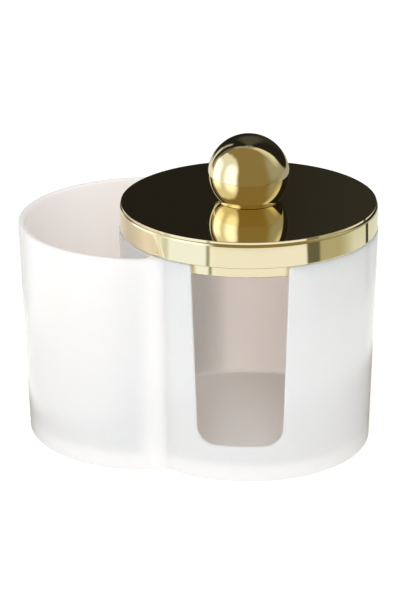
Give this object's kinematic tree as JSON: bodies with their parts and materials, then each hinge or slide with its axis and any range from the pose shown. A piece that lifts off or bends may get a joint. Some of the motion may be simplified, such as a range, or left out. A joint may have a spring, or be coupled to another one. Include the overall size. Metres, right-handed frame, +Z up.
{
  "type": "cotton swab holder",
  "caption": "Two-compartment holder with a slotted round bin under a lift-off metal lid with a ball knob, and an open crescent bin beside it.",
  "frame": {"origin": "on the ground under the middle of the tub", "axes": "+X to the right, from the crescent bin to the round bin; +Y to the back; +Z up; the slot is in the front, at -Y"},
  "size_m": [0.127, 0.09, 0.1107],
  "materials": {
    "white_plastic": "high gloss white moulding",
    "gold_plate": "mirror-polished gold plate",
    "zinc_steel": "bright zinc plate"
  },
  "bodies": {
    "tub": {"tub": "white_plastic"},
    "lid": {"lid_cap": "gold_plate", "lid_knob": "gold_plate", "knob_screw": "zinc_steel", "knob_washer": "zinc_steel"}
  },
  "joints": [
    {"name": "lid_lift", "type": "slide", "parent": "tub", "child": "lid", "axis": [0, 0, 1], "range_m": [0, 0.045]}
  ]
}
